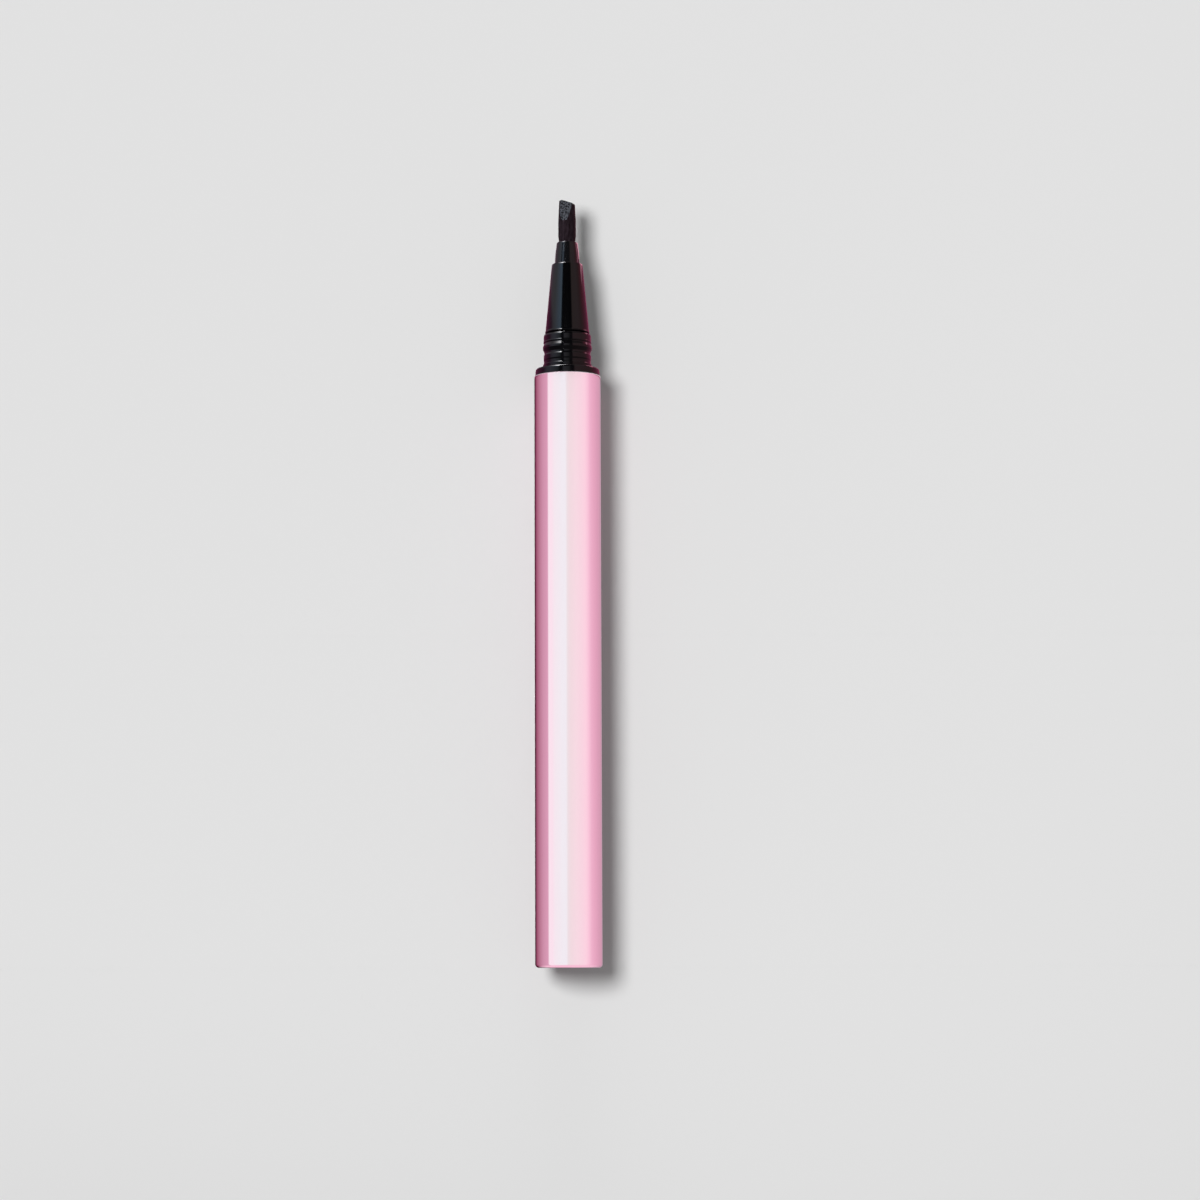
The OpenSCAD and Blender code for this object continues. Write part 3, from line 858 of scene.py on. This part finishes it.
@dataclass
class Nib:
    """The felt nib: a swelled rod with two cut faces and a slanted drawing edge.

    Tuft and fibre give the size and the depth of a texture.
    """

    foot: float = 111.0
    lip: float = 120.45
    edge: float = 127.5
    shank: float = 1.37
    chamfer: float = 0.25
    radius: float = 1.47
    taper: float = 0.16
    swell_start: float = 0.25
    swell_height: float = 1.1
    spare: float = 1.0
    cut_height: float = 3.6
    edge_thickness: float = 1.1
    cut_turn: float = -20.0
    slant: float = 21.4
    corner_round: float = 0.65
    corner_lap: float = 0.1
    corner_cuts: int = 7
    soft_edge: float = 0.24
    soft_steps: int = 3
    sharp_deg: float = 25.0
    cell: float = 0.06
    high_side: float = 0.96
    cut_foot: float = 0.15
    cut_match: float = 0.93
    tuft: Pair = (0.5, 0.05)
    fibre: Pair = (0.2, 0.04)
    rough_start: float = 0.1
    rough_run: float = 0.5
    smooth_deg: float = 60.0
    sides: int = 96

    def _cut(self, place: Vector, normal: Vector) -> None:
        """Cuts off what lies beyond a plane and closes the cut.

        Args:
            place: A point on the plane, in millimetres.
            normal: The side that goes.
        """
        bpy.ops.mesh.select_all(action="SELECT")
        bpy.ops.mesh.bisect(plane_co=place, plane_no=normal, use_fill=True, clear_outer=True)

    def _round_corners(self, spin: Matrix) -> None:
        """Wears both corners of the drawing edge round, one small cut after another.

        Args:
            spin: Turn of the drawing edge about the axis.
        """
        lean = math.radians(self.slant)
        reach = self.radius - self.taper + self.corner_lap - self.corner_round
        top = 90 - self.slant
        for x, start, end in ((reach, 0.0, top), (-reach, top, 180.0)):
            centre = Vector((x, 0, self.edge - x * math.tan(lean) - self.corner_round / math.cos(lean)))
            for i in range(self.corner_cuts):
                turn = math.radians(start + (end - start) * (i + 0.5) / self.corner_cuts)
                outward = Vector((math.cos(turn), 0, math.sin(turn)))
                self._cut(spin @ (centre + outward * self.corner_round), spin @ outward)

    def cut_normals(self) -> list[Vector]:
        """Works out which way the cut faces look.

        Returns:
            The normals of both, that of the front one first.
        """
        tilt = math.atan((self.radius - self.edge_thickness / 2) / self.cut_height)
        normals = []
        for turn in (self.cut_turn, self.cut_turn + 180):
            spin = Matrix.Rotation(math.radians(turn), 3, "Z")
            normals.append(spin @ Vector((0, -math.cos(tilt), math.sin(tilt))))
        return normals

    def build(self) -> None:
        """Shapes the nib, roughens it into felt and puts it in the place of its CAD node."""
        outline = Profile(guard=0.05)
        narrow, blank = self.radius - self.taper, self.edge + self.spare
        outline.to((0, self.foot), (self.shank - self.chamfer, self.foot),
                   (self.shank, self.foot + self.chamfer), (self.shank, self.lip + self.swell_start),
                   (self.radius, self.lip + self.swell_height), (self.radius, self.edge - self.cut_height),
                   (narrow, self.edge), (narrow, blank), (0, blank))
        nib = turn_piece("felt_nib", outline, self.sides)
        Bench.edit(nib, "FACE")
        spin = Matrix.Rotation(math.radians(self.cut_turn), 3, "Z")
        for turn, normal in zip((self.cut_turn, self.cut_turn + 180), self.cut_normals()):
            foot = Matrix.Rotation(math.radians(turn), 3, "Z") @ Vector((0, -self.radius, 0))
            foot.z = self.edge - self.cut_height
            self._cut(foot, normal)
        lean = math.radians(self.slant)
        self._cut(Vector((0, 0, self.edge)), spin @ Vector((math.sin(lean), 0, math.cos(lean))))
        self._round_corners(spin)
        bpy.ops.object.mode_set(mode="OBJECT")
        Bench.modify(nib, "soft_edge", "BEVEL", width=self.soft_edge, segments=self.soft_steps,
                     limit_method="ANGLE", angle_limit=math.radians(self.sharp_deg))
        Bench.modify(nib, "felt_cells", "REMESH", mode="VOXEL", voxel_size=self.cell)
        self._fibres(nib)
        Bench.finish(nib, self.smooth_deg)
        FINISHES.felt.dress(nib)
        nib.data.materials.append(FINISHES.felt_cut.material())
        self._mark_cuts(nib)
        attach(nib, PEN)
        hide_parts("nib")
        log.info("nib: %d faces", len(nib.data.polygons))

    def _fibres(self, nib: bpy.types.Object) -> None:
        """Presses a fibrous surface into the felt that shows.

        Args:
            nib: The nib, in millimetres.
        """
        group = nib.vertex_groups.new(name="shown")
        for vertex in nib.data.vertices:
            share = min(max((vertex.co.z - self.lip - self.rough_start) / self.rough_run, 0.0), 1.0)
            if share > 0:
                group.add([vertex.index], share, "REPLACE")
        for name, (size, depth) in (("tufts", self.tuft), ("fibres", self.fibre)):
            texture = bpy.data.textures.new(name, "CLOUDS")
            texture.noise_scale = size
            texture.noise_depth = 2
            Bench.modify(nib, name, "DISPLACE", texture=texture, texture_coords="LOCAL", strength=depth,
                         mid_level=0.5, vertex_group="shown")

    def _mark_cuts(self, nib: bpy.types.Object) -> None:
        """Gives the cut faces their own finish, but for their foot and their high side.

        Args:
            nib: The finished nib, in metres, whose second material is that finish.
        """
        fronts = self.cut_normals()
        turn = math.radians(self.cut_turn)
        along = Vector((math.cos(turn), math.sin(turn), 0))
        low = (self.edge - self.cut_height + self.cut_foot) * MM
        for face in nib.data.polygons:
            if face.center.z < low or face.center.dot(along) < -self.high_side * MM:
                continue
            if any(face.normal.dot(way) > self.cut_match for way in fronts):
                face.material_index = 1


class Innards:
    """The sealed pieces, which keep their CAD meshes."""

    FINISH_OF = {
        "tail_pad": FINISHES.foam,
        "tank_plug": FINISHES.plug,
        "ink_tank": FINISHES.tank,
        "mixing_ball": FINISHES.ball,
        "neck_ring": FINISHES.ring,
        "collector_gasket": FINISHES.gasket,
        "collector": FINISHES.comb,
        "relay_core": FINISHES.fibre,
    }

    def build(self) -> None:
        """Dresses each sealed piece."""
        for name, finish in self.FINISH_OF.items():
            finish.dress(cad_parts[name])
            log.info("%s: %s", name, finish.name)


# Studio.


@dataclass
class Camera:
    """The photograph's view: a long lens at the height of the tail, pitched up at the pen."""

    away: float = 552.0
    side: float = 5.29
    height: float = -1.0
    pitch: float = 6.344
    roll: float = -0.205
    lens: float = 100.86
    sensor: float = 36.0
    nearest: float = 10.0

    def build(self) -> None:
        """Adds the camera and makes it the scene's."""
        data = bpy.data.cameras.new("photo_camera")
        data.lens = self.lens
        data.sensor_width = self.sensor
        data.clip_start = self.nearest * MM
        camera = bpy.data.objects.new("photo_camera", data)
        bpy.context.scene.collection.objects.link(camera)
        camera.location = (self.side * MM, -self.away * MM, self.height * MM)
        aim = Euler((math.radians(90 + self.pitch), 0, 0)).to_matrix()
        camera.rotation_euler = (aim @ Matrix.Rotation(math.radians(self.roll), 3, "Z")).to_euler()
        bpy.context.scene.camera = camera
        log.info("camera: %.0f mm lens", self.lens)


def ramp_by_azimuth(nodes: Nodes, direction: bpy.types.NodeSocket, stops: Stops, foot: float = 0.0,
                    spread: float = 0.0) -> bpy.types.NodeSocket:
    """A colour that changes with the compass direction, for lamps and the world.

    Args:
        nodes: The tree to add to.
        direction: The socket that gives the direction or the place.
        stops: Degrees from the camera's side, to the right, and the colour there.
        foot: Height at which the stops are as given, in millimetres.
        spread: Share by which they spread with each millimetre over it.

    Returns:
        The colour's socket.
    """
    split = nodes.add("ShaderNodeSeparateXYZ")
    nodes.link(direction, split.inputs[0])
    towards = nodes.math("MULTIPLY", split.outputs["Y"], -1.0)
    angle = nodes.math("ARCTAN2", split.outputs["X"], towards)
    if spread:
        wide = nodes.math("MULTIPLY_ADD", split.outputs["Z"], spread / MM, 1 - spread * foot)
        angle = nodes.math("DIVIDE", angle, wide)
    share = nodes.math("MULTIPLY_ADD", angle, 0.5 / math.pi, 0.5)
    ramp = nodes.add("ShaderNodeValToRGB")
    nodes.link(share, ramp.inputs["Fac"])
    bar = ramp.color_ramp
    while len(bar.elements) > 1:
        bar.elements.remove(bar.elements[-1])
    for i, (degrees, colour) in enumerate(stops):
        position = degrees / 360 + 0.5
        element = bar.elements[0] if i == 0 else bar.elements.new(position)
        element.position = position
        element.color = (*colour, 1.0)
    return ramp.outputs["Color"]


@dataclass
class Studio:
    """Floor, backdrop, lamps, and the soft boxes and cards that the gloss shows.

    Places and sizes are millimetres. Stops give what the world or a card shows, by azimuth.
    Each fade gives the heights of a direction at which it starts and ends.
    """

    grey: Color = (0.785, 0.785, 0.785)
    shown_grey: float = 0.745
    backdrop_gap: float = 8.0
    sheet_size: float = 1400.0
    key_place: Place = (-182.0, -552.0, 130.0)
    key_ahead: float = 0.84
    key_fade: Pair = (-0.485, -0.36)
    key_radius: float = 105.0
    key_power: float = 8.74
    key_falloff: float = -3.0
    top_strength: float = 1.35
    top_width: float = 40.0
    ambient: float = 0.23
    below: Color = (1.0, 0.72, 0.84)
    below_fade: Pair = (-0.35, -0.75)
    wrap: Stops = (
        (-180, (0.06, 0.005, 0.02)), (-155, (0.08, 0.01, 0.03)), (-144, (0.26, 0.08, 0.14)),
        (-136, (0.38, 0.13, 0.21)), (-96, (0.65, 0.385, 0.50)), (-74, (0.75, 0.47, 0.60)),
        (-71, (1.02, 1.07, 1.08)), (-57, (1.02, 1.06, 1.07)), (-46, (0.97, 1.13, 1.09)),
        (-20, (0.94, 1.17, 1.12)), (-7, (0.94, 1.17, 1.12)), (-1, (0.91, 1.03, 0.97)),
        (8, (0.94, 0.98, 0.94)), (28, (0.99, 0.975, 0.965)), (49, (1.01, 0.925, 0.95)),
        (62, (1.04, 0.90, 0.945)), (74, (1.01, 0.78, 0.875)), (87, (0.91, 0.61, 0.745)),
        (101, (0.85, 0.54, 0.67)), (120, (0.77, 0.475, 0.60)), (144, (0.68, 0.41, 0.52)),
        (158, (0.56, 0.36, 0.45)), (180, (0.55, 0.38, 0.45)),
    )
    low_hood: Stops = (
        (-180, (0.05, 0.01, 0.02)), (-165, (0.28, 0.05, 0.14)), (-119, (0.32, 0.06, 0.17)),
        (-95, (0.25, 0.08, 0.18)), (-78, (0.46, 0.42, 0.54)), (-62, (0.52, 0.54, 0.66)),
        (-43, (0.38, 0.42, 0.48)), (-32, (0.18, 0.22, 0.24)), (-28, (0.02, 0.02, 0.03)),
        (-18, (0.02, 0.02, 0.03)), (-14, (0.46, 0.46, 0.52)), (6, (0.26, 0.26, 0.27)),
        (13, (0.05, 0.04, 0.05)), (23, (0.03, 0.02, 0.03)), (28, (0.44, 0.28, 0.30)),
        (90, (0.38, 0.20, 0.22)), (112, (0.52, 0.12, 0.22)), (165, (0.50, 0.08, 0.20)),
        (180, (0.05, 0.01, 0.02)),
    )
    high_hood: Stops = (
        (-180, (0.05, 0.01, 0.02)), (-165, (0.32, 0.18, 0.26)), (-118, (0.40, 0.30, 0.37)),
        (-98, (0.52, 0.47, 0.54)), (-80, (0.58, 0.60, 0.65)), (-66, (0.70, 0.78, 0.94)),
        (-50, (0.76, 1.02, 1.36)), (-35, (0.88, 1.26, 1.70)), (-31, (0.0, 0.0, 0.0)),
        (24, (0.0, 0.0, 0.0)), (29, (0.44, 0.33, 0.32)), (62, (0.44, 0.31, 0.33)),
        (80, (0.36, 0.21, 0.22)), (106, (0.55, 0.12, 0.19)), (150, (0.62, 0.14, 0.27)),
        (168, (0.45, 0.08, 0.2)), (180, (0.05, 0.01, 0.02)),
    )
    crown: Stops = (
        (-180, (0.1, 0.05, 0.1)), (-120, (0.4, 0.3, 0.4)), (-96, (0.7, 0.6, 0.7)),
        (-76, (2.6, 2.5, 2.6)), (-62, (6.0, 5.9, 6.2)), (-52, (14.0, 13.8, 14.4)),
        (-43, (26.0, 25.8, 26.6)), (-34, (32.0, 31.8, 32.6)), (-31, (0.04, 0.04, 0.05)),
        (24, (0.04, 0.04, 0.05)), (29, (0.45, 0.38, 0.38)), (95, (0.40, 0.25, 0.27)),
        (112, (0.50, 0.14, 0.24)), (165, (0.40, 0.10, 0.20)), (180, (0.1, 0.05, 0.1)),
    )
    apron: Stops = (
        (-180, (0.05, 0.01, 0.02)), (-160, (0.17, 0.03, 0.08)), (-100, (0.17, 0.03, 0.09)),
        (-80, (0.05, 0.04, 0.06)), (-30, (0.04, 0.04, 0.05)), (-18, (0.07, 0.07, 0.08)),
        (14, (0.06, 0.06, 0.06)), (28, (0.10, 0.07, 0.07)), (90, (0.17, 0.11, 0.12)),
        (112, (0.38, 0.09, 0.17)), (160, (0.34, 0.08, 0.16)), (180, (0.05, 0.01, 0.02)),
    )
    rim_card: Stops = (
        (-180, (0.12, 0.02, 0.05)), (-150, (0.28, 0.10, 0.16)), (-79, (0.74, 0.49, 0.59)),
        (-77, (0.95, 0.93, 0.97)), (12, (0.90, 0.90, 0.90)), (20, (1.06, 1.20, 1.16)),
        (110, (1.06, 1.15, 1.12)), (150, (0.75, 0.52, 0.62)), (180, (0.55, 0.38, 0.45)),
    )
    hood_radius: float = 100.0
    hood_foot: float = 116.0
    hood_seam: float = 140.0
    hood_top: float = 185.0
    hood_sides: int = 96
    crown_seam: float = 245.0
    crown_top: float = 900.0
    crown_share: float = 0.33
    crown_spread: float = 0.004
    card_height: float = 97.78
    apron_bore: float = 5.6
    rim_card_lift: float = 0.07
    rim_card_bore: float = 5.42
    rim_card_edge: float = 6.1
    glint_place: Place = (25.3, 31.2, 134.0)
    glint_size: Pair = (45.0, 13.0)
    glint_turn: float = -35.0
    glint: Color = (2.6, 1.05, 1.4)

    def build(self) -> None:
        """Builds the whole studio."""
        self._world()
        self._sheet("backdrop", (0, self.backdrop_gap, 0), 90)
        self._sheet("floor", (0, 0, 0), 0)
        self._key()
        sky = self._lamp("top_lamp", "SUN", self.top_strength)
        sky.data.angle = math.radians(self.top_width)
        wide, near = self.hood_radius, (self.apron_bore, self.card_height)
        foot, seam, top = (wide, self.hood_foot), (wide, self.hood_seam), (wide, self.hood_top)
        self._card("apron", near, foot, self.hood_top, self.apron)
        self._card("low_hood", foot, seam, self.hood_foot, self.low_hood)
        self._card("high_hood", seam, top, self.hood_foot, self.high_hood)
        dim = tuple((turn, tuple(self.crown_share * part for part in colour)) for turn, colour in self.crown)
        middle, end = (wide, self.crown_seam), (wide, self.crown_top)
        self._card("low_crown", top, middle, self.hood_foot, dim, self.crown_spread)
        self._card("crown", middle, end, self.hood_foot, self.crown, self.crown_spread)
        level = self.card_height + self.rim_card_lift
        self._card("rim_card", (self.rim_card_bore, level), (self.rim_card_edge, level), 0.0, self.rim_card)
        self._glint()
        bpy.context.scene.view_settings.view_transform = "Standard"
        log.info("studio: built")

    def _world(self) -> None:
        """Even light on matt surfaces, soft boxes for gloss and plain grey for the camera."""
        world = bpy.data.worlds.new("studio")
        bpy.context.scene.world = world
        world.use_nodes = True
        tree = world.node_tree
        tree.nodes.clear()
        nodes = Nodes(tree)
        place = nodes.add("ShaderNodeTexCoord")
        rays = nodes.add("ShaderNodeLightPath")
        boxes = ramp_by_azimuth(nodes, place.outputs["Generated"], self.wrap)
        split = nodes.add("ShaderNodeSeparateXYZ")
        nodes.link(place.outputs["Generated"], split.inputs[0])
        boxes = nodes.blend(nodes.span(split.outputs["Z"], *self.below_fade), boxes, self.below)
        even = (self.ambient,) * 3
        first = nodes.math("LESS_THAN", rays.outputs["Diffuse Depth"], 0.5)
        glossy = nodes.math("MULTIPLY", rays.outputs["Is Glossy Ray"], first)
        shown = nodes.blend(glossy, even, boxes)
        shown = nodes.blend(rays.outputs["Is Camera Ray"], shown, (self.shown_grey,) * 3)
        background = nodes.add("ShaderNodeBackground")
        nodes.link(shown, background.inputs["Color"])
        output = nodes.add("ShaderNodeOutputWorld")
        nodes.link(background.outputs[0], output.inputs[0])

    def _plane(self, name: str, place: Place, size: Pair, tilt: float, turn: float = 0) -> bpy.types.Object:
        """Adds a plane.

        Args:
            name: Name of the plane.
            place: Its middle, in millimetres.
            size: Its width and depth, in millimetres.
            tilt: Turn about the X axis in degrees, from lying face up.
            turn: Turn about the Z axis after that.

        Returns:
            The plane, in metres, with its place and size applied.
        """
        Bench.clear()
        spin = (math.radians(tilt), 0, math.radians(turn))
        bpy.ops.mesh.primitive_plane_add(size=MM, location=tuple(v * MM for v in place), rotation=spin)
        plane = bpy.context.object
        plane.name = name
        plane.scale = (*size, 1)
        bpy.ops.object.transform_apply(location=True, rotation=True, scale=True)
        return plane

    def _sheet(self, name: str, place: Place, tilt: float) -> None:
        """A flat sheet of matt grey paper, clear from behind, that neither shades nor lights anything.

        Args:
            name: Name of the sheet.
            place: Its middle, in millimetres.
            tilt: Turn about the X axis in degrees, from lying face up.
        """
        sheet = self._plane(name, place, (self.sheet_size, self.sheet_size), tilt)
        nodes = Nodes.dress(sheet, name + "_paper")
        paper = nodes.add("ShaderNodeBsdfDiffuse")
        paper.inputs["Color"].default_value = (*self.grey, 1.0)
        nodes.close(paper.outputs[0])
        for way in ("glossy", "diffuse", "shadow"):
            setattr(sheet, "visible_" + way, False)

    def _lamp(self, name: str, kind: str, power: float) -> bpy.types.Object:
        """Adds a lamp that leaves no glint.

        Args:
            name: Name of the lamp.
            kind: Blender's name of the lamp type.
            power: Its energy.

        Returns:
            The lamp, at the origin.
        """
        data = bpy.data.lights.new(name, kind)
        data.energy = power
        lamp = bpy.data.objects.new(name, data)
        bpy.context.scene.collection.objects.link(lamp)
        lamp.visible_glossy = False
        return lamp

    def _key(self) -> None:
        """The soft key lamp, which lights an upright plane evenly and spares the floor under it."""
        lamp = self._lamp("key_lamp", "POINT", self.key_power)
        lamp.location = tuple(v * MM for v in self.key_place)
        data = lamp.data
        data.shadow_soft_size = self.key_radius * MM
        data.use_nodes = True
        nodes = Nodes(data.node_tree)
        place = nodes.add("ShaderNodeTexCoord")
        split = nodes.add("ShaderNodeSeparateXYZ")
        nodes.link(place.outputs["Normal"], split.inputs[0])
        ahead = nodes.math("MAXIMUM", nodes.math("ABSOLUTE", split.outputs["Y"]), self.key_ahead)
        fade = nodes.span(split.outputs["Z"], *self.key_fade)
        strength = nodes.math("MULTIPLY", nodes.math("POWER", ahead, self.key_falloff), fade)
        nodes.link(strength, data.node_tree.nodes["Emission"].inputs["Strength"])

    def _card(self, name: str, low: Point, high: Point, facing: float, stops: Stops,
              spread: float = 0.0) -> None:
        """A ring round the axis that only gloss shows, and only from one side.

        Args:
            name: Name of the ring.
            low: Radius and height of its first edge, in millimetres.
            high: Radius and height of its second edge.
            facing: Height of the spot on the axis that its lit side faces.
            stops: What it shows, by azimuth.
            spread: Share by which the azimuths spread with each millimetre over the hood.
        """
        plain = Profile(guard=math.inf).to(low, high)
        ring = Bench.finish(turn_piece(name, plain, self.hood_sides))
        face = ring.data.polygons[0]
        if face.normal.dot(Vector((0, 0, facing * MM)) - face.center) < 0:
            Bench.edit(ring, "FACE")
            bpy.ops.mesh.select_all(action="SELECT")
            bpy.ops.mesh.flip_normals()
            Bench.clear()
        self._glow(ring, stops, spread)

    def _glint(self) -> None:
        """An upright card behind the pen, which lines the holder's right edge."""
        card = self._plane("glint_card", self.glint_place, self.glint_size, 90, self.glint_turn)
        self._glow(card, ((-180, self.glint),))

    def _glow(self, card: bpy.types.Object, stops: Stops, spread: float = 0.0) -> None:
        """Makes a card shine to gloss alone.

        Args:
            card: The card.
            stops: What it shows, by azimuth.
            spread: Share by which the azimuths spread with each millimetre over the hood.
        """
        nodes = Nodes.dress(card, card.name)
        place = nodes.add("ShaderNodeTexCoord")
        glow = nodes.add("ShaderNodeEmission")
        colour = ramp_by_azimuth(nodes, place.outputs["Object"], stops, self.hood_top, spread)
        nodes.link(colour, glow.inputs["Color"])
        nodes.close(glow.outputs[0])
        for way in ("camera", "diffuse", "shadow", "transmission"):
            setattr(card, "visible_" + way, False)


def main() -> None:
    """Builds the camera, the pen and the studio."""
    logging.basicConfig(level=logging.INFO, format="%(name)s %(message)s")
    Camera().build()
    for part in (Barrel(), Neck(), Cone(), Holder(), Nib(), Innards()):
        part.build()
    Studio().build()
    Bench.clear()


if __name__ == "__main__":
    main()
